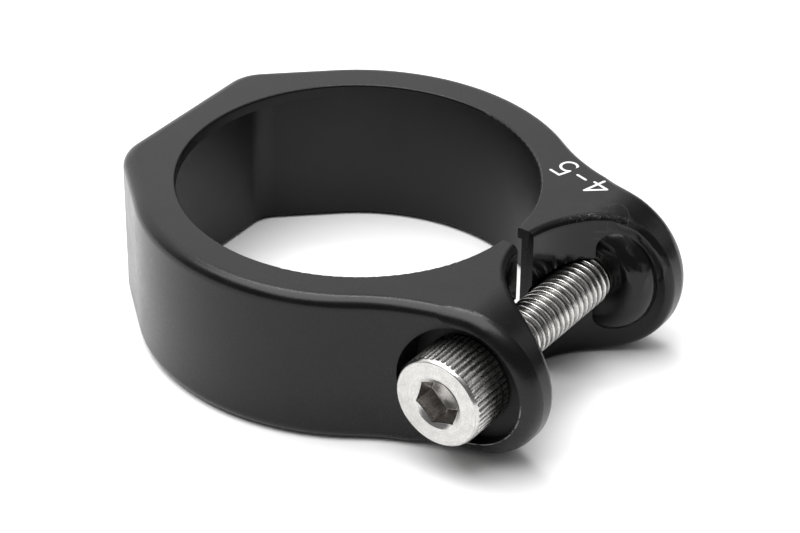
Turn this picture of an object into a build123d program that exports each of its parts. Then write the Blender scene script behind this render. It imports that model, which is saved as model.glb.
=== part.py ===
from build123d import *
import os
from math import cos, sin, sqrt, radians, atan2, degrees

os.makedirs("parts", exist_ok=True)

# ---------------------------------------------------------------- dimensions, mm
# Frame: the origin is on the bore's axis at the bottom face. +Z is up, the slit
# faces -Y, and the bolt lies along X with its head at -X.

# ring
BORE_R = 17.45            # seat for a 34.9 mm seat tube
LIP_R = 17.0              # opening of the lip that stops the tube's end
LIP_T = 1.1               # thickness of the lip
HEIGHT = 15.2             # collar height
RING_R = 21.0             # outer radius of the ring
BACK_CORNER_R = 4.5       # rounding of the two corners at the back
SIDE_FLAT_DEG = 42.5      # the way the flats beside the back face, from +X
RELIEF_CORNER_R = 3.0     # the same corners inside the bore
RIM_FILLET = 1.2          # outer edges, top, bottom and round the ears
LEAD_IN = 0.45            # chamfer at the bottom of the bore
LIP_EDGE = 0.2            # rounded top edge of the lip

# ears and the pocket between them
EAR_X = 13.6              # outer side of each ear, half of the width over both
ROUND_TOP = 1.6           # rounding of an ear's outer edge, where its round end begins on top
ROUND_BOTTOM = 2.75       # it grows round the end to this, where the round end runs out below
ROUND_PROUD = 0.012       # it leaves the faces by this much, so that it meets them cleanly
BLEND_R = 20.0            # hollow blend from the ring to an ear's outer face
BOLT_Y = -20.95           # bolt axis, in front of the bore
BOLT_Z = HEIGHT / 2 + 0.35
EAR_END_R = HEIGHT / 2    # full round end, seen from the side
EAR_END_Y = -20.9         # its centre
POCKET_R = 9.8            # hollow pocket between the ears
POCKET_BOTTOM_Y = -18.6   # leaves the thin wall at the slit
POCKET_FILLET = 0.7       # rounded edges of the pocket
SLIT_W = 2.6

# bolt holes
CBORE_R = 5.9             # counterbore for the screw head, near ear
CBORE_Y = BOLT_Y - 0.3    # it is set a little forward of the bolt axis
CBORE_FLOOR_X = -12.2
CLEAR_R = 2.75            # clearance hole, near ear and across the pocket walls
TAP_R = 2.5               # thread major radius, far ear
TAP_MOUTH = 0.35          # chamfer where the tapped hole leaves the far ear
BOSS_R = 6.1              # boss round the tapped hole, inside the far ear
BOSS_FACE_X = 7.2
BOSS_EDGE = 2.4

# socket head cap screw M5 x 25
HEAD_R = 4.36            # knurled head
HEAD_H = 5.0
HEAD_SEAT_GAP = 0.05      # play between the head and the counterbore floor
HEAD_CHAMFER = 0.35
SHANK_R = 2.45            # thread crest radius
SHANK_L = 25.0
SHANK_CHAMFER = 0.5
HEX_AF = 4.0
HEX_DEPTH = 2.6
HEX_CONE = 0.7
HEX_TURN = 16.0           # hexagon turned about the bolt axis, degrees
HEX_MOUTH_R = 2.55        # chamfered mouth of the socket

HEAD_SEAT_X = CBORE_FLOOR_X - HEAD_SEAT_GAP
HEAD_FACE_X = HEAD_SEAT_X - HEAD_H
SHANK_END_X = HEAD_SEAT_X + SHANK_L
POCKET_Y = POCKET_BOTTOM_Y - POCKET_R
FRONT_Y = EAR_END_Y - EAR_END_R


def polar(r, deg):
    return (r * cos(radians(deg)), r * sin(radians(deg)))


def back_corner(ring_r, corner_r, side):
    """Tangent points and middle of the rounded corner between the back flat and
    the flat on its right (side 1) or left (side -1), as seen from above."""
    half = (90 - SIDE_FLAT_DEG) / 2
    mid = 90 - half * side
    c = polar((ring_r - corner_r) / cos(radians(half)), mid)
    out = []
    for a in (90, mid, 90 - 2 * half * side):
        d = polar(corner_r, a)
        out.append((c[0] + d[0], c[1] + d[1]))
    return out


blend_cx = EAR_X + BLEND_R
blend_cy = -sqrt((RING_R + BLEND_R) ** 2 - blend_cx ** 2)
blend_ring_deg = degrees(atan2(blend_cy, blend_cx))
blend_mid_deg = 180 + blend_ring_deg / 2
blend_mid = (blend_cx + BLEND_R * cos(radians(blend_mid_deg)),
             blend_cy + BLEND_R * sin(radians(blend_mid_deg)))


def mx(p):
    return (-p[0], p[1])


bolt_axis = Axis((0, BOLT_Y, BOLT_Z), (1, 0, 0))
bolt_plane = Plane(origin=(0, BOLT_Y, BOLT_Z), x_dir=(1, 0, 0), z_dir=(0, -1, 0))


def on_pocket(e):
    p = e @ 0.5
    if p.Y >= POCKET_Y - 1e-6:
        return abs(sqrt(p.X ** 2 + (p.Y - POCKET_Y) ** 2) - POCKET_R) < 0.01
    return abs(abs(p.X) - POCKET_R) < 0.01


def is_smooth_seam(e):
    """Edges inside a smooth surface: upright ones, and the lines where the flat
    top and bottom run into the round ear ends."""
    t = e % 0.5
    if e.geom_type != GeomType.LINE:
        return False
    p = e @ 0.5
    return abs(t.Z) > 0.99 or (abs(t.X) > 0.99 and abs(p.Y - EAR_END_Y) < 0.01)


def round_the_bolt(e, r):
    """Edges that run round the bolt axis at this radius."""
    return all(abs(sqrt((p.Y - BOLT_Y) ** 2 + (p.Z - BOLT_Z) ** 2) - r) < 0.01
               for p in (e @ 0.1, e @ 0.37, e @ 0.5, e @ 0.8))


# ---------------------------------------------------------------- rounding of the ears
# What is taken off the outer edge of an ear: a corner profile whose radius grows from
# the ring's rim, along the blend on top, round the ear's end and back along the bottom,
# where it shrinks into the rim again. One side is built, the other is its mirror image.
def wall_x(y):
    """Outer face of the far ear and its blend at this y."""
    return EAR_X if y < blend_cy else blend_cx - sqrt(BLEND_R ** 2 - (y - blend_cy) ** 2)


def corner_profile(x, r, proud):
    """Outline of the material outside a rounding of radius r; the corner is at (x, 0)."""
    d = r * cos(radians(45))
    cx, cy = x - r + proud, -r + proud
    ThreePointArc((cx, cy + r), (cx + d, cy + d), (cx + r, cy))
    Polyline((cx + r, cy), (x + 2.5, cy), (x + 2.5, 2.5), (cx, 2.5), (cx, cy + r))


def blend_section(deg, z, r, proud):
    """Upright section through the blend, this many degrees back from its end:
    its plane, and the profile's corner, radius and stand-off."""
    c, n = cos(radians(deg)), sin(radians(deg))
    up = 1 if z > HEIGHT / 2 else -1
    plane = Plane(origin=(blend_cx - BLEND_R * c, blend_cy + BLEND_R * n, z),
                  x_dir=(c, -n, 0), z_dir=(-up * n, -up * c, 0))
    return plane, 0, r, proud


def end_section(deg):
    """The same for a section through the round end, this many degrees above its centre."""
    c, n = cos(radians(deg)), sin(radians(deg))
    r = ROUND_TOP + (ROUND_BOTTOM - ROUND_TOP) * (90 - deg) / 180
    plane = Plane(origin=(0, EAR_END_Y - EAR_END_R * c, HEIGHT / 2 + EAR_END_R * n),
                  x_dir=(1, 0, 0), z_dir=(0, -n, -c))
    return plane, wall_x(EAR_END_Y - (EAR_END_R - r) * c), r, ROUND_PROUD


round_sections = [blend_section(deg, HEIGHT, r, proud) for deg, r, proud in
                  ((20, 1.15, 0.16), (17, 1.24, 0.08), (14, 1.36, 0.045), (11, 1.49, 0.025))]
round_sections += [end_section(deg) for deg in range(90, -91, -15)]
round_sections += [blend_section(deg, 0, r, proud) for deg, r, proud in
                   ((11, 2.55, 0.016), (14, 2.22, 0.025), (17, 1.86, 0.04), (20, 1.52, 0.07), (23, 1.2, 0.16))]

with BuildPart() as ear_rounding:
    for plane, x, r, proud in round_sections:
        with BuildSketch(plane):
            with BuildLine():
                corner_profile(x, r, proud)
            make_face()
    loft()
    mirror(about=Plane.YZ)

# ---------------------------------------------------------------- split collar
with BuildPart() as clamp_collar:
    # plan of the ring with its flat back, the blends and the two ears
    with BuildSketch() as plan:
        with BuildLine() as outline:
            r1, r2, r3 = back_corner(RING_R, BACK_CORNER_R, 1)
            l1, l2, l3 = back_corner(RING_R, BACK_CORNER_R, -1)
            rt = polar(RING_R, SIDE_FLAT_DEG)
            rb = polar(RING_R, blend_ring_deg)
            rm = polar(RING_R, (SIDE_FLAT_DEG + blend_ring_deg) / 2)
            re = (EAR_X, blend_cy)
            rf = (EAR_X, FRONT_Y)
            Line(l1, r1)
            ThreePointArc(r1, r2, r3)
            Line(r3, rt)
            ThreePointArc(rt, rm, rb)
            ThreePointArc(rb, blend_mid, re)
            Line(re, rf)
            Line(rf, mx(rf))
            Line(mx(rf), mx(re))
            ThreePointArc(mx(re), mx(blend_mid), mx(rb))
            ThreePointArc(mx(rb), mx(rm), mx(rt))
            Line(mx(rt), l3)
            ThreePointArc(l3, l2, l1)
        make_face()
    extrude(amount=HEIGHT)

    # round ends of the ears, seen from the side
    with BuildSketch(Plane.YZ) as side:
        with Locations((EAR_END_Y, HEIGHT / 2)):
            Rectangle(RING_R + 5 - EAR_END_Y, HEIGHT, align=(Align.MIN, Align.CENTER))
            Circle(EAR_END_R)
    extrude(amount=RING_R + 5, both=True, mode=Mode.INTERSECT)

    # pocket between the ears
    with BuildSketch() as pocket:
        with Locations((0, POCKET_Y)):
            Circle(POCKET_R)
            Rectangle(2 * POCKET_R, 20, align=(Align.CENTER, Align.MAX))
    extrude(amount=HEIGHT, mode=Mode.SUBTRACT)

    # rounded outer rim, then the softer pocket edges
    fillet(clamp_collar.edges().filter_by(
        lambda e: not is_smooth_seam(e) and not on_pocket(e)), RIM_FILLET)
    fillet(clamp_collar.edges().filter_by(
        lambda e: not is_smooth_seam(e) and on_pocket(e)), POCKET_FILLET)

    # rounder outer edges on the ears
    add(ear_rounding.part, mode=Mode.SUBTRACT)

    # boss round the tapped hole
    with BuildSketch(bolt_plane) as boss:
        with BuildLine():
            b = BOSS_EDGE
            Polyline((BOSS_FACE_X + b, BOSS_R), (11.0, BOSS_R), (11.0, 0),
                     (BOSS_FACE_X, 0), (BOSS_FACE_X, BOSS_R - b))
            ThreePointArc((BOSS_FACE_X, BOSS_R - b),
                          (BOSS_FACE_X + b * (1 - cos(radians(45))), BOSS_R - b * (1 - sin(radians(45)))),
                          (BOSS_FACE_X + b, BOSS_R))
        make_face()
    revolve(axis=bolt_axis)

    # bore below the lip, relieved at the back like the outside
    with BuildSketch() as bore:
        with BuildLine():
            r1, r2, r3 = back_corner(BORE_R, RELIEF_CORNER_R, 1)
            l1, l2, l3 = back_corner(BORE_R, RELIEF_CORNER_R, -1)
            rt = polar(BORE_R, SIDE_FLAT_DEG)
            Line(l1, r1)
            ThreePointArc(r1, r2, r3)
            Line(r3, rt)
            ThreePointArc(rt, (0, -BORE_R), mx(rt))
            Line(mx(rt), l3)
            ThreePointArc(l3, l2, l1)
        make_face()
    extrude(amount=HEIGHT - LIP_T, mode=Mode.SUBTRACT)
    chamfer(clamp_collar.edges().filter_by_position(Axis.Z, -0.01, 0.01).filter_by(
        lambda e: (e @ 0.5).X ** 2 + (e @ 0.5).Y ** 2 < (RING_R - RIM_FILLET - 0.8) ** 2
        and (e @ 0.5).Y > -BORE_R - 0.1), LEAD_IN)

    # opening through the lip
    with BuildSketch(Plane.XY.offset(HEIGHT)) as lip:
        Circle(LIP_R)
    extrude(amount=-2 * LIP_T, mode=Mode.SUBTRACT)
    fillet(clamp_collar.edges().filter_by(GeomType.CIRCLE).filter_by(
        lambda e: abs(e.radius - LIP_R) < 0.01 and (e @ 0.5).Z > HEIGHT - 0.01), LIP_EDGE)

    # slit
    with BuildSketch() as slit:
        with Locations((0, -BORE_R)):
            Rectangle(SLIT_W, 6.0)
    extrude(amount=HEIGHT, mode=Mode.SUBTRACT)

    # near ear: clearance hole and counterbore
    with BuildSketch(Plane(origin=(CBORE_FLOOR_X, CBORE_Y, BOLT_Z), x_dir=(0, -1, 0), z_dir=(-1, 0, 0))) as cbore:
        Circle(CBORE_R)
    extrude(amount=12, mode=Mode.SUBTRACT)
    with BuildSketch(Plane(origin=(-SLIT_W / 4, BOLT_Y, BOLT_Z), x_dir=(0, -1, 0), z_dir=(-1, 0, 0))) as clear:
        Circle(CLEAR_R)
    extrude(amount=20, mode=Mode.SUBTRACT)

    # far ear: the same clearance up to the boss, then the tapped hole right through
    with BuildSketch(Plane(origin=(SLIT_W / 4, BOLT_Y, BOLT_Z), x_dir=(0, 1, 0), z_dir=(1, 0, 0))) as passage:
        Circle(CLEAR_R)
    extrude(amount=BOSS_FACE_X - SLIT_W / 4, mode=Mode.SUBTRACT)
    with BuildSketch(Plane(origin=(SLIT_W / 4, BOLT_Y, BOLT_Z), x_dir=(0, 1, 0), z_dir=(1, 0, 0))) as tapped:
        Circle(TAP_R)
    extrude(amount=20, mode=Mode.SUBTRACT)
    chamfer(clamp_collar.edges().filter_by(
        lambda e: round_the_bolt(e, TAP_R) and (e @ 0.5).X > EAR_X - 1.0), TAP_MOUTH)

clamp_collar.part.label = "clamp_collar"
export_step(clamp_collar.part, "parts/clamp_collar.step")

# ---------------------------------------------------------------- screw
with BuildPart() as clamp_bolt:
    with BuildSketch(bolt_plane) as profile:
        with BuildLine():
            Polyline((HEAD_FACE_X, 0), (HEAD_FACE_X, HEAD_R - HEAD_CHAMFER),
                     (HEAD_FACE_X + HEAD_CHAMFER, HEAD_R), (HEAD_SEAT_X - 0.15, HEAD_R),
                     (HEAD_SEAT_X, HEAD_R - 0.15), (HEAD_SEAT_X, SHANK_R),
                     (SHANK_END_X - SHANK_CHAMFER, SHANK_R), (SHANK_END_X, SHANK_R - SHANK_CHAMFER),
                     (SHANK_END_X, 0), close=True)
        make_face()
    revolve(axis=bolt_axis)

    # hexagon socket with a drilled bottom and a chamfered mouth
    face_plane = Plane(origin=(HEAD_FACE_X, BOLT_Y, BOLT_Z), x_dir=(0, -1, 0), z_dir=(-1, 0, 0))
    with BuildSketch(face_plane) as hexagon:
        RegularPolygon(HEX_AF / sqrt(3), 6, rotation=HEX_TURN)
    extrude(amount=-HEX_DEPTH, mode=Mode.SUBTRACT)
    with BuildSketch(bolt_plane) as socket_ends:
        with BuildLine():
            Polyline((HEAD_FACE_X + HEX_DEPTH, 0), (HEAD_FACE_X + HEX_DEPTH, HEX_AF / 2),
                     (HEAD_FACE_X + HEX_DEPTH + HEX_CONE, 0), close=True)
        make_face()
        with BuildLine():
            Polyline((HEAD_FACE_X, 0), (HEAD_FACE_X, HEX_MOUTH_R),
                     (HEAD_FACE_X + 0.35, HEX_MOUTH_R - 0.6), (HEAD_FACE_X + 0.35, 0), close=True)
        make_face()
    revolve(axis=bolt_axis, mode=Mode.SUBTRACT)

clamp_bolt.part.label = "clamp_bolt"
export_step(clamp_bolt.part, "parts/clamp_bolt.step")
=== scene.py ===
import math

import bpy
import bmesh
from mathutils import Matrix, Quaternion, Vector

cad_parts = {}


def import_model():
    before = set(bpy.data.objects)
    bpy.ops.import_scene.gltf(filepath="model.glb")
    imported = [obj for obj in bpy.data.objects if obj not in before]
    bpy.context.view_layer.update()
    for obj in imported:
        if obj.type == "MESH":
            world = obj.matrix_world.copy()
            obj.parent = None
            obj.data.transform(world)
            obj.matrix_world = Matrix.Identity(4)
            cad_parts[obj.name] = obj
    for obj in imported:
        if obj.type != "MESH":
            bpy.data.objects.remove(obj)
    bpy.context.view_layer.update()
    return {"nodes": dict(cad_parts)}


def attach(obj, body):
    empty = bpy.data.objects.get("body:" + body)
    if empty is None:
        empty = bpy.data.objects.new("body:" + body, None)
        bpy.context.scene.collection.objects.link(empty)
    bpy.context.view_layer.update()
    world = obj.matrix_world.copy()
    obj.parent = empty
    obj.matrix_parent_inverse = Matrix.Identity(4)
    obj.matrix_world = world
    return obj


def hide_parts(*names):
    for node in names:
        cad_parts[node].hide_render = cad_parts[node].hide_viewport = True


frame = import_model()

MM = 0.001
scene = bpy.context.scene

# ---------------------------------------------------------------- dimensions, mm
HEIGHT = 15.2
BOLT_Y, BOLT_Z = -20.95, 7.95
HEAD_SEAT_X, HEAD_FACE_X, TIP_X = -12.25, -17.25, 12.75
HEAD_R = 4.36
EDGE_IN, EDGE_LONG = 0.2, 0.55    # rounded band between the screw's face and its knurl
SHANK_R, TIP_CHAMFER = 2.45, 0.5
HEX_AF, HEX_DEPTH, HEX_CONE, HEX_TURN = 4.0, 2.6, 0.7, 16.0
MOUTH_R, MOUTH_SLOPE = 2.55, 0.6 / 0.35
KNURLS, KNURL_DEPTH = 48, 0.13
PITCH, THREAD_DEPTH = 0.8, 0.48
POCKET_R, POCKET_Y = 9.8, -28.4


# ---------------------------------------------------------------- small node helpers
class Tree:
    """Adds nodes to a node tree and links them in one line each."""

    def __init__(self, tree):
        self.t = tree

    def node(self, kind, ins=None, **props):
        n = self.t.nodes.new(kind)
        for k, v in props.items():
            setattr(n, k, v)
        for k, v in (ins or {}).items():
            self.put(n.inputs[k], v)
        return n

    def put(self, socket, v):
        if isinstance(v, bpy.types.NodeSocket):
            self.t.links.new(v, socket)
        else:
            socket.default_value = v

    def math(self, op, a, b=0.0, c=0.0, clamp=False):
        n = self.node("ShaderNodeMath", operation=op, use_clamp=clamp)
        for s, v in zip(n.inputs, (a, b, c)):
            self.put(s, v)
        return n.outputs[0]

    def add(self, *terms):
        out = terms[0]
        for v in terms[1:]:
            out = self.math("ADD", out, v)
        return out

    def mul(self, *terms):
        out = terms[0]
        for v in terms[1:]:
            out = self.math("MULTIPLY", out, v)
        return out

    def vec(self, op, a, b=None, scale=None):
        n = self.node("ShaderNodeVectorMath", operation=op)
        self.put(n.inputs[0], a)
        if b is not None:
            self.put(n.inputs[1], b)
        if scale is not None:
            self.put(n.inputs["Scale"], scale)
        return n.outputs["Value"] if op in ("DOT_PRODUCT", "LENGTH", "DISTANCE") else n.outputs["Vector"]

    def xyz(self, x=0.0, y=0.0, z=0.0):
        return self.node("ShaderNodeCombineXYZ", {0: x, 1: y, 2: z}).outputs[0]

    def split(self, v):
        return self.node("ShaderNodeSeparateXYZ", {0: v}).outputs

    def rgb(self, r, g, b):
        return self.node("ShaderNodeCombineColor", {0: r, 1: g, 2: b}).outputs[0]

    def ramp(self, v, lo, hi, a=0.0, b=1.0, smooth=True):
        n = self.node("ShaderNodeMapRange", interpolation_type="SMOOTHSTEP" if smooth else "LINEAR")
        for k, x in (("Value", v), ("From Min", lo), ("From Max", hi), ("To Min", a), ("To Max", b)):
            self.put(n.inputs[k], x)
        return n.outputs["Result"]

    def noise(self, vec, scale, detail=2.0, rough=0.5):
        n = self.node("ShaderNodeTexNoise", {"Vector": vec, "Scale": scale, "Detail": detail, "Roughness": rough})
        return n.outputs["Fac"]

    def mix(self, f, a, b):
        n = self.node("ShaderNodeMix", data_type="RGBA")
        self.put(n.inputs[0], f)
        self.put(n.inputs[6], a)
        self.put(n.inputs[7], b)
        return n.outputs[2]

    def stroke(self, p, a, b):
        """Distance of the flat point p from the straight stroke a-b."""
        d = (b[0] - a[0], b[1] - a[1], 0.0)
        off = self.vec("SUBTRACT", p, (a[0], a[1], 0.0))
        t = self.math("MULTIPLY", self.vec("DOT_PRODUCT", off, d), 1.0 / (d[0] ** 2 + d[1] ** 2), clamp=True)
        n = self.node("ShaderNodeVectorMath", operation="SCALE")
        n.inputs[0].default_value = d
        self.put(n.inputs["Scale"], t)
        return self.vec("DISTANCE", off, n.outputs["Vector"])

    def nearest(self, ds):
        out = ds[0]
        for d in ds[1:]:
            out = self.math("MINIMUM", out, d)
        return out


def new_material(name):
    m = bpy.data.materials.new(name)
    m.use_nodes = True
    t = m.node_tree
    t.nodes.clear()
    k = Tree(t)
    out = k.node("ShaderNodeOutputMaterial")
    bsdf = k.node("ShaderNodeBsdfPrincipled")
    t.links.new(bsdf.outputs[0], out.inputs["Surface"])
    return m, k, bsdf


# ---------------------------------------------------------------- black anodised aluminium
def anodised():
    m, k, b = new_material("black_anodised")
    tex = k.node("ShaderNodeTexCoord")
    p = k.vec("SCALE", tex.outputs["Object"], scale=1000.0)          # position in millimetres
    x, y, z = k.split(p)
    facing = tex.outputs["Normal"]
    level = k.math("ABSOLUTE", k.split(facing)[2])
    rounded = k.mul(k.ramp(level, 0.10, 0.30), k.ramp(level, 0.985, 0.93))       # the broken edges, top and bottom
    flat = k.vec("NORMALIZE", k.xyz(x, y))
    inward = k.ramp(k.vec("DOT_PRODUCT", facing, flat), -0.2, -0.6)              # the wall of the bore

    # the milled hollow between the ears is smoother than the blasted outside
    away = k.vec("LENGTH", k.xyz(x, k.math("SUBTRACT", y, POCKET_Y)))
    in_round = k.ramp(away, POCKET_R + 0.75, POCKET_R + 0.25)
    milled = k.mul(in_round, k.ramp(y, -17.6, -18.2))

    grain = k.noise(p, 11.0, 3.0, 0.6)
    fine = k.noise(p, 34.0, 2.0, 0.5)
    cloud = k.noise(p, 0.35, 3.0, 0.55)
    smear = k.noise(p, 1.3, 4.0, 0.6)

    tone = k.add(0.0026, k.ramp(cloud, 0.3, 0.7, -0.0006, 0.0008), k.ramp(fine, 0.35, 0.75, -0.0007, 0.0012))

    # wear: bright specks on the hollow's upper edge, a faint oval rub mark beside it
    edge = k.mul(k.ramp(k.math("ABSOLUTE", k.math("SUBTRACT", away, POCKET_R + 0.28)), 0.34, 0.12),
                 k.ramp(z, HEIGHT - 0.9, HEIGHT - 0.5), k.ramp(x, 4.0, 7.0))
    chips = k.ramp(k.noise(p, 4.2, 4.0, 0.7), 0.56, 0.68)
    wear = k.mul(edge, chips, 0.085)
    q = k.vec("SUBTRACT", p, (8.95, -22.85, 0.0))
    oval = k.vec("LENGTH", k.xyz(k.math("MULTIPLY", k.vec("DOT_PRODUCT", q, (0.87, 0.5, 0.0)), 1 / 1.5),
                                 k.math("MULTIPLY", k.vec("DOT_PRODUCT", q, (-0.5, 0.87, 0.0)), 1 / 1.05)))
    rub = k.mul(k.ramp(k.math("ABSOLUTE", k.math("SUBTRACT", oval, 1.0)), 0.05, 0.015),
                k.ramp(k.noise(p, 2.3, 2.0), 0.42, 0.58), k.ramp(z, HEIGHT - 2.4, HEIGHT - 1.4), 0.022)
    tone = k.add(tone, wear, rub)

    # scuffs on the upright flat behind the near side, where it has been laid down
    reach = k.vec("DOT_PRODUCT", p, (-0.766, 0.643, 0.0))
    corner = k.mul(k.ramp(reach, 19.6, 20.9), k.ramp(k.noise(p, 0.28, 3.0, 0.6), 0.40, 0.62),
                   k.ramp(z, HEIGHT - 0.8, HEIGHT - 4.0), k.ramp(z, 0.4, 3.0))
    scuff = k.noise(k.vec("MULTIPLY", p, (1.0, 1.0, 0.45)), 1.5, 5.0, 0.68)
    hair = k.noise(k.vec("MULTIPLY", p, (0.35, 0.35, 2.6)), 2.6, 3.0, 0.6)
    scuffs = k.mul(corner, k.ramp(k.add(k.mul(scuff, 0.7), k.mul(hair, 0.3)), 0.42, 0.66))
    tone = k.add(tone, k.mul(scuffs, 0.022))

    # ripples that the cutter left round the boss, above and in front of the screw, with painted highlights along
    # their crests
    c = k.vec("SUBTRACT", p, (0.0, BOLT_Y, BOLT_Z))
    cx, cy, cz = k.split(c)
    off = k.vec("LENGTH", k.xyz(0.0, cy, cz))
    warp = k.ramp(k.noise(p, 0.5, 1.0, 0.5), 0.2, 0.8, -0.45, 0.45, smooth=False)
    wave = k.math("SINE", k.mul(k.add(off, warp), 2 * math.pi / 1.1))
    lean = k.math("DIVIDE", k.add(k.mul(cz, 0.75), k.mul(cy, -0.66)), k.math("MAXIMUM", off, 0.1))
    where = k.mul(k.ramp(off, 4.2, 4.9), k.ramp(off, 7.7, 7.0), k.ramp(lean, 0.55, 0.92), k.ramp(cx, 6.6, 7.4),
                  k.ramp(cx, 12.4, 11.4))
    ripple = k.mul(wave, where)

    along = k.math("ARCTAN2", cz, cy)
    broken = k.noise(k.xyz(k.mul(off, 2.2), k.mul(along, 1.6), k.mul(cx, 0.4)), 1.0, 3.0, 0.6)
    # painted highlight: light streaks in the colour along the ripples' crests stand in for glints
    painted_glints = k.mul(where, k.ramp(wave, 0.2, 0.95), k.ramp(broken, 0.40, 0.62))
    tone = k.add(tone, k.mul(painted_glints, 0.017))

    # counterbore: left duller by the cutter and darkened as painted shade, with a painted highlight along its outer
    # edge on the front and below
    seat = k.xyz(0.0, k.math("SUBTRACT", y, BOLT_Y - 0.3), k.math("SUBTRACT", z, BOLT_Z))
    out = k.vec("LENGTH", seat)
    sunk = k.mul(k.ramp(out, 5.97, 5.93), k.ramp(x, -11.9, -12.1))
    below = k.math("DIVIDE", k.vec("DOT_PRODUCT", seat, (0.0, -0.72, -0.70)), k.math("MAXIMUM", out, 0.1))
    # painted highlight along the counterbore's outer edge, on the front and below
    painted_rim_highlight = k.mul(k.ramp(out, 5.915, 5.94), k.ramp(out, 6.07, 6.0), k.ramp(x, -11.9, -12.1), k.ramp(below, 0.55, 0.85),
                k.ramp(k.noise(p, 1.9, 3.0, 0.6), 0.38, 0.55))
    # painted shade: the colour is darkened inside the counterbore and on the bore's wall
    tone = k.mul(tone, k.ramp(k.add(sunk, inward), 0.0, 1.0, 1.0, 0.45))
    # the painted highlight is added to the colour here
    tone = k.add(tone, k.mul(painted_rim_highlight, 0.16))

    # plain white numbers on the far half's top face
    right, up = (0.266, 0.964, 0.0), (-0.964, 0.266, 0.0)
    f = k.xyz(k.math("SUBTRACT", k.vec("DOT_PRODUCT", p, right), -16.2),
              k.math("SUBTRACT", k.vec("DOT_PRODUCT", p, up), -17.3))
    f = k.vec("SCALE", f, scale=1 / 0.84)
    fx = k.split(f)[0]
    bowl = k.math("ABSOLUTE", k.math("SUBTRACT", k.vec("DISTANCE", f, (6.2, 0.95, 0.0)), 0.95))
    bowl = k.add(bowl, k.ramp(fx, 5.47, 5.43, 0.0, 9.0))
    ink = k.nearest([
        k.stroke(f, (1.45, 0.0), (1.45, 3.0)), k.stroke(f, (1.45, 3.0), (0.0, 0.95)), k.stroke(f, (0.0, 0.95), (2.0, 0.95)),
        k.stroke(f, (3.0, 1.4), (4.3, 1.4)),
        k.stroke(f, (5.6, 3.0), (7.0, 3.0)), k.stroke(f, (5.6, 3.0), (5.46, 1.55)), bowl])
    ink = k.mul(k.ramp(ink, 0.175, 0.135), k.ramp(z, HEIGHT - 0.05, HEIGHT - 0.02), k.ramp(x, 2.0, 3.0))

    black_tone = k.rgb(tone, tone, k.math("MULTIPLY", tone, 1.02))
    white = k.ramp(grain, 0.3, 0.7, 0.60, 0.70)
    k.put(b.inputs["Base Color"], k.mix(ink, black_tone, k.rgb(white, white, white)))

    rough = k.add(k.ramp(cloud, 0.25, 0.75, 0.255, 0.295), k.ramp(smear, 0.35, 0.75, 0.008, -0.010),
                  k.ramp(grain, 0.3, 0.7, 0.025, -0.025))
    rough = k.math("SUBTRACT", rough, k.mul(milled, 0.13))
    rough = k.math("SUBTRACT", rough, k.mul(rounded, 0.02))
    rough = k.add(rough, k.mul(ink, 0.3), k.mul(scuffs, 0.06), k.mul(sunk, 0.22), k.mul(inward, 0.10))
    k.put(b.inputs["Roughness"], rough)
    b.inputs["IOR"].default_value = 1.345

    height = k.add(k.mul(grain, 0.7), k.mul(fine, 0.3))
    height = k.mul(height, k.math("SUBTRACT", 1.0, k.mul(milled, 0.6)))
    bump = k.node("ShaderNodeBump", {"Height": height, "Strength": 0.30, "Distance": 0.00002})
    waves = k.node("ShaderNodeBump", {"Height": ripple, "Strength": 1.0, "Distance": 0.000016, "Normal": bump.outputs[0]})
    k.put(b.inputs["Normal"], waves.outputs[0])
    return m


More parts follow.
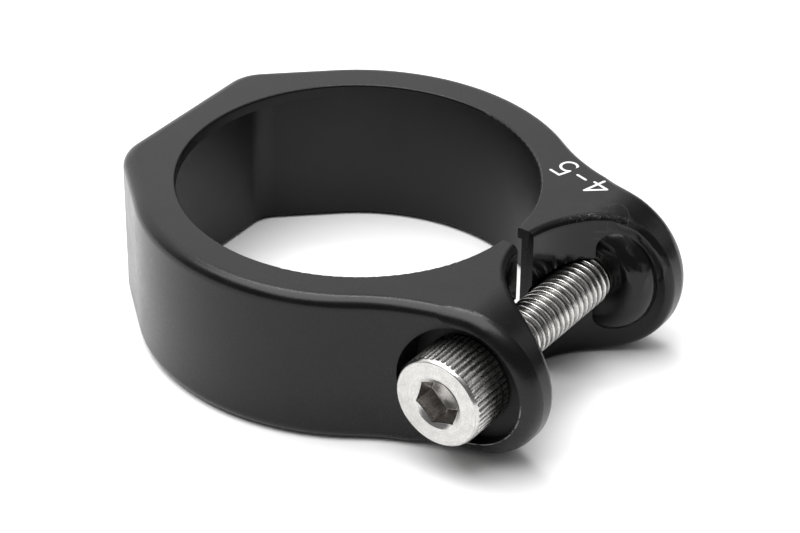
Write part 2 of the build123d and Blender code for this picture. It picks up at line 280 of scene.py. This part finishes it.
# ---------------------------------------------------------------- stainless steel
def stainless():
    m, k, b = new_material("stainless")
    at = k.node("ShaderNodeTexCoord").outputs["Object"]
    p = k.vec("SUBTRACT", k.vec("SCALE", at, scale=1000.0), (0.0, BOLT_Y, BOLT_Z))
    x, y, z = k.split(p)
    r = k.vec("LENGTH", k.vec("MULTIPLY", p, (0.0, 1.0, 1.0)))
    d = k.math("SUBTRACT", x, HEAD_FACE_X)        # depth behind the screw's face

    # turned face: fine rings; knurled side: fine lines along the axis; thread: lines along the helix
    rings = k.noise(k.xyz(k.mul(r, 14.0), k.mul(x, 2.0)), 1.0, 3.0, 0.6)
    lines = k.noise(k.vec("MULTIPLY", p, (0.7, 9.0, 9.0)), 1.0, 3.0, 0.65)
    turn = k.math("ARCTAN2", z, y)
    helix = k.math("SUBTRACT", k.mul(x, 1 / PITCH), k.mul(turn, 1 / (2 * math.pi)))
    drawn = k.noise(k.xyz(k.mul(helix, 9.0), k.mul(turn, 1.3)), 1.0, 4.0, 0.65)
    grain = k.noise(p, 24.0, 3.0, 0.6)
    speck = k.noise(p, 9.0, 3.0, 0.6)
    cloud = k.noise(p, 1.2, 2.0, 0.5)
    on_side = k.mul(k.ramp(r, 4.0, 4.15), k.ramp(d, 0.40, 0.60))
    on_thread = k.mul(k.ramp(r, 2.62, 2.55), k.ramp(r, 1.75, 1.9))
    on_thread = k.mul(on_thread, k.ramp(x, HEAD_SEAT_X - 0.1, HEAD_SEAT_X + 0.1))
    inside = k.mul(k.ramp(r, 2.5, 2.3), k.ramp(d, 0.25, 0.45), k.ramp(x, HEAD_SEAT_X, HEAD_SEAT_X - 0.2))

    f = k.add(k.ramp(cloud, 0.3, 0.7, 0.49, 0.55), k.ramp(speck, 0.3, 0.7, 0.06, -0.09),
              k.ramp(rings, 0.3, 0.7, 0.03, -0.04), k.ramp(grain, 0.32, 0.68, -0.09, 0.09))
    f = k.math("SUBTRACT", f, k.mul(on_thread, k.ramp(drawn, 0.3, 0.65, 0.20, -0.06)))
    root = k.ramp(r, SHANK_R - 0.45, SHANK_R - 0.12, 0.30, 1.12)      # painted shade in the roots, painted highlight on the crests
    f = k.mul(f, k.add(1.0, k.mul(on_thread, k.math("SUBTRACT", root, 1.0))))
    # painted shade in the knurl's grooves, painted highlight on its ridges
    ridge = k.ramp(r, HEAD_R - 0.115, HEAD_R - 0.015, 0.42, 1.14)
    f = k.mul(f, k.add(1.0, k.mul(on_side, k.math("SUBTRACT", ridge, 1.0))))
    f = k.math("SUBTRACT", f, k.mul(on_side, k.ramp(k.add(k.mul(lines, 0.4), k.mul(speck, 0.6)), 0.38, 0.62, 0.20, -0.16)))
    steel_tone = k.rgb(f, k.math("MULTIPLY", f, 0.988), k.math("MULTIPLY", f, 0.962))
    g = k.ramp(lines, 0.3, 0.7, 0.34, 0.52)       # the socket's inside is coloured darker and browner
    k.put(b.inputs["Base Color"], k.mix(inside, steel_tone, k.rgb(g, k.math("MULTIPLY", g, 0.96), k.math("MULTIPLY", g, 0.92))))
    b.inputs["Metallic"].default_value = 1.0
    rough = k.add(k.ramp(speck, 0.3, 0.7, 0.17, 0.24), k.ramp(rings, 0.3, 0.7, -0.03, 0.04), k.mul(inside, 0.08),
                  k.mul(on_thread, 0.05), k.mul(on_side, 0.07))
    k.put(b.inputs["Roughness"], rough)

    height = k.add(k.mul(rings, 0.45), k.mul(speck, 0.35), k.mul(grain, 0.3), k.mul(on_side, lines, 1.6),
                   k.mul(on_side, speck, 3.0), k.mul(on_thread, drawn, 2.2))
    bump = k.node("ShaderNodeBump", {"Height": height, "Strength": 0.35, "Distance": 0.00001})
    k.put(b.inputs["Normal"], bump.outputs[0])
    return m


# ---------------------------------------------------------------- screw with thread, knurl and socket
def smooth01(t):
    t = min(1.0, max(0.0, t))
    return t * t * (3 - 2 * t)


def thread_drop(u):
    """How deep the thread is cut at phase u (0 at the crest, 0.5 at the root), 0 to 1."""
    u = abs((u + 0.5) % 1.0 - 0.5)
    t = (u - 0.12) / 0.31
    return smooth01(t) * 0.35 + 0.65 * min(1.0, max(0.0, t))


def uneven(i, salt):
    """A fixed, patternless number from 0 to 1 for the knurl's tooth i."""
    v = math.sin(i * 12.9898 + salt * 78.233) * 43758.5453
    return v - math.floor(v)


def knurl_drop(a):
    """How far the knurl falls off at angle a: 0 on the ridges, 1 in the grooves."""
    s = a / (2 * math.pi) * KNURLS
    i = math.floor(s) % KNURLS
    u = 1 - abs(s % 1.0 - 0.5) * 2            # 0 on the ridge, 1 in the groove
    t = min(1.0, max(0.0, (u - 0.14 - 0.12 * uneven(i, 1)) / 0.74))
    return (0.8 * t + 0.2 * smooth01(t)) * (0.75 + 0.25 * uneven(i, 2))


def knurl_start(a):
    """Where a groove begins behind the face: the tool ran in a little unevenly."""
    i = math.floor(a / (2 * math.pi) * KNURLS) % KNURLS
    return 0.24 + 0.14 * uneven(i, 3)


def hex_r(a):
    t = (a + math.radians(HEX_TURN)) % (math.pi / 3)
    return HEX_AF / 2 / math.cos(t - math.pi / 6)


def build_bolt():
    n_head = KNURLS * 12
    n_shank = n_head // 6
    verts, faces = [], []

    def ring(fn, n):
        start = len(verts)
        for i in range(n):
            a = 2 * math.pi * i / n
            x, r = fn(a)
            verts.append((x, BOLT_Y + r * math.cos(a), BOLT_Z + r * math.sin(a)))
        return start, n

    def join(p, q):
        (s, n), (t, m) = p, q
        if n == m:
            for i in range(n):
                j = (i + 1) % n
                faces.append((s + i, s + j, t + j, t + i))
        else:                                   # n is a multiple of m
            f = n // m
            for j in range(m):
                j2 = (j + 1) % m
                mid = j * f + f // 2
                for i in range(j * f, (j + 1) * f):
                    i2 = (i + 1) % n
                    faces.append((s + i, s + i2, t + (j if i < mid else j2)))
                faces.append((s + mid, t + j2, t + j))

    def cap(c, p, first):
        s, n = p
        verts.append(c)
        top = len(verts) - 1
        for i in range(n):
            j = (i + 1) % n
            faces.append((top, s + j, s + i) if first else (top, s + i, s + j))

    face = HEAD_FACE_X

    def cut(a):
        return (MOUTH_R - hex_r(a)) / MOUTH_SLOPE

    rows = []
    for r, d in ((0.5, HEX_CONE * 0.75), (1.2, HEX_CONE * 0.4), (1.9, 0.035)):
        rows.append(lambda a, r=r, d=d: (face + HEX_DEPTH + d, r))
    rows.append(lambda a: (face + HEX_DEPTH, hex_r(a) - 0.05))
    for t in (0.0, 0.25, 0.5, 0.75, 0.97):
        rows.append(lambda a, t=t: (face + (HEX_DEPTH - 0.03) * (1 - t) + (cut(a) + 0.03) * t, hex_r(a)))
    for t in (0.06, 0.5, 0.94):
        rows.append(lambda a, t=t: (face + cut(a) * (1 - t), hex_r(a) * (1 - t) + MOUTH_R * t))
    rim = HEAD_R - EDGE_IN
    for r, d in ((MOUTH_R + 0.02, 0.0), (MOUTH_R + 0.1, 0.0), (2.9, 0.0), (3.12, 0.0), (3.16, 0.008), (3.2, 0.0), (3.5, 0.0), (3.85, 0.0),
                 (rim - 0.07, 0.0), (rim - 0.035, 0.03), (rim, 0.012)):
        rows.append(lambda a, r=r, d=d: (face + d, r))

    def side(a, d):
        band = HEAD_R - EDGE_IN * max(0.0, 1 - d / EDGE_LONG) ** 2
        low = HEAD_R - max(0.0, d - (HEAD_SEAT_X - face - 0.15))
        groove = KNURL_DEPTH * knurl_drop(a) * smooth01((d - knurl_start(a)) / 0.22)
        return min(low, band - groove)

    for d in (0.03, 0.06, 0.10, 0.15, 0.21, 0.28, 0.34, 0.40, 0.46, 0.52, 0.58, 0.64, 0.70, 0.76, 0.85, 1.2, 2.0, 2.8, 3.6, 4.3, 4.8, 4.87, 4.93, 4.99):
        rows.append(lambda a, d=d: (face + d, side(a, d)))
    rows.append(lambda a: (HEAD_SEAT_X, HEAD_R - 0.2))
    rows.append(lambda a: (HEAD_SEAT_X, 3.4))
    made = [ring(fn, n_head) for fn in rows]
    cap((face + HEX_DEPTH + HEX_CONE, BOLT_Y, BOLT_Z), made[0], True)
    for p, q in zip(made, made[1:]):
        join(p, q)

    neck = [(HEAD_SEAT_X, 2.75), (HEAD_SEAT_X + 0.01, 2.66), (HEAD_SEAT_X + 0.05, 2.55), (HEAD_SEAT_X + 0.12, 2.48), (HEAD_SEAT_X + 0.22, SHANK_R)]
    last = made[-1]
    for x, r in neck:
        nxt = ring(lambda a, x=x, r=r: (x, r), n_shank)
        join(last, nxt)
        last = nxt
    x0 = HEAD_SEAT_X + 0.30
    n_rows = 600
    for i in range(n_rows + 1):
        x = x0 + (TIP_X - 0.01 - x0) * i / n_rows

        def at(a, x=x):
            fade = smooth01((x - x0) / 0.9)
            r = SHANK_R - THREAD_DEPTH * fade * thread_drop(x / PITCH - a / (2 * math.pi))
            return x, min(r, SHANK_R - TIP_CHAMFER + (TIP_X - x))

        nxt = ring(at, n_shank)
        join(last, nxt)
        last = nxt
    for x, r in ((TIP_X, SHANK_R - TIP_CHAMFER - 0.06), (TIP_X - 0.02, 1.2), (TIP_X - 0.05, 0.5)):
        nxt = ring(lambda a, x=x, r=r: (x, r), n_shank)
        join(last, nxt)
        last = nxt
    cap((TIP_X - 0.06, BOLT_Y, BOLT_Z), last, False)

    me = bpy.data.meshes.new("socket_screw")
    me.from_pydata([tuple(c * MM for c in v) for v in verts], [], faces)
    me.update()
    bm = bmesh.new()
    bm.from_mesh(me)
    bmesh.ops.recalc_face_normals(bm, faces=bm.faces)
    limit = (HEAD_SEAT_X + 0.2) * MM
    for f in bm.faces:
        f.smooth = True
    for e in bm.edges:
        if e.is_manifold and max(v.co.x for v in e.verts) < limit and e.calc_face_angle(0) > math.radians(28):
            e.smooth = False
    bm.to_mesh(me)
    bm.free()
    ob = bpy.data.objects.new("socket_screw", me)
    scene.collection.objects.link(ob)
    return ob


steel = stainless()
black = anodised()

bolt = build_bolt()
bolt.data.materials.append(steel)
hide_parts("clamp_bolt")
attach(bolt, "bolt")

collar = frame["nodes"]["clamp_collar"]
collar.data.materials.clear()
collar.data.materials.append(black)


# ---------------------------------------------------------------- floor, light, camera
def floor():
    me = bpy.data.meshes.new("floor")
    s = 3.0
    me.from_pydata([(-s, -s, 0), (s, -s, 0), (s, s, 0), (-s, s, 0)], [], [(0, 1, 2, 3)])
    ob = bpy.data.objects.new("floor", me)
    scene.collection.objects.link(ob)
    ob.location.z = -0.00002
    m, k, b = new_material("pale_floor")
    at = k.node("ShaderNodeTexCoord").outputs["Object"]
    v = k.ramp(k.noise(at, 60.0, 3.0), 0.3, 0.7, 0.86, 0.88)
    k.put(b.inputs["Base Color"], k.rgb(v, v, v))
    b.inputs["Roughness"].default_value = 0.9
    b.inputs["Specular IOR Level"].default_value = 0.1
    me.materials.append(m)


def area(name, at, size, power, toward=(0, 0, 0.006), colour=(1, 1, 1), size_y=None, roll=0.0):
    d = bpy.data.lights.new(name, "AREA")
    d.energy, d.color = power, colour
    d.shape = "RECTANGLE"
    d.size, d.size_y = size, size_y or size
    o = bpy.data.objects.new(name, d)
    o.location = at
    aim = (Vector(toward) - Vector(at)).to_track_quat("-Z", "Y")
    o.rotation_euler = (aim @ Quaternion((0, 0, 1), math.radians(roll))).to_euler()
    scene.collection.objects.link(o)
    return o


def world():
    """Dim room, bright white sweep behind the object and to its left."""
    w = bpy.data.worlds.new("studio")
    scene.world = w
    w.use_nodes = True
    k = Tree(w.node_tree)
    w.node_tree.nodes.clear()
    d = k.node("ShaderNodeTexCoord").outputs["Generated"]
    behind = k.vec("DOT_PRODUCT", d, Vector((0.35, 0.85, 0.40)).normalized())
    above = k.split(d)[2]
    light = k.add(0.20, k.ramp(behind, 0.50, 1.0, 0.0, 1.45), k.ramp(above, 0.60, 0.95, 0.0, 0.6))
    bg = k.node("ShaderNodeBackground", {"Color": (1, 1, 1, 1), "Strength": light})
    out = k.node("ShaderNodeOutputWorld")
    w.node_tree.links.new(bg.outputs[0], out.inputs["Surface"])


def camera():
    f, dist = 3000.0, 278.979
    az, el, roll = (math.radians(v) for v in (-54.992, 33.119, 0.656))
    tx, ty = -41.903, -90.932
    back = Vector((math.sin(az) * math.cos(el), -math.cos(az) * math.cos(el), math.sin(el)))
    right = (-back).cross(Vector((0, 0, 1))).normalized()
    up = right.cross(-back)
    r = math.cos(roll) * right + math.sin(roll) * up
    u = math.cos(roll) * up - math.sin(roll) * right
    at = -(tx * dist / f) * r + (ty * dist / f) * u + dist * back + Vector((0, 0, HEIGHT))
    c = bpy.data.cameras.new("camera")
    c.sensor_fit = "HORIZONTAL"
    c.sensor_width = 36.0
    c.lens = f * 36.0 / 800.0
    c.clip_start, c.clip_end = 0.01, 20.0
    o = bpy.data.objects.new("camera", c)
    m = Matrix((r, u, back)).transposed().to_4x4()
    m.translation = at * MM
    o.matrix_world = m
    scene.collection.objects.link(o)
    scene.camera = o


floor()
world()
area("key", (-0.19, 0.12, 0.75), 0.75, 8.6)
area("side", (0.55, -0.42, 0.40), 0.14, 0.24, size_y=0.5)
area("line", (0.23, 0.236, 0.77), 0.50, 1.7, size_y=0.05, roll=-25.0)
camera()
scene.view_settings.view_transform = "Standard"

bpy.context.view_layer.update()
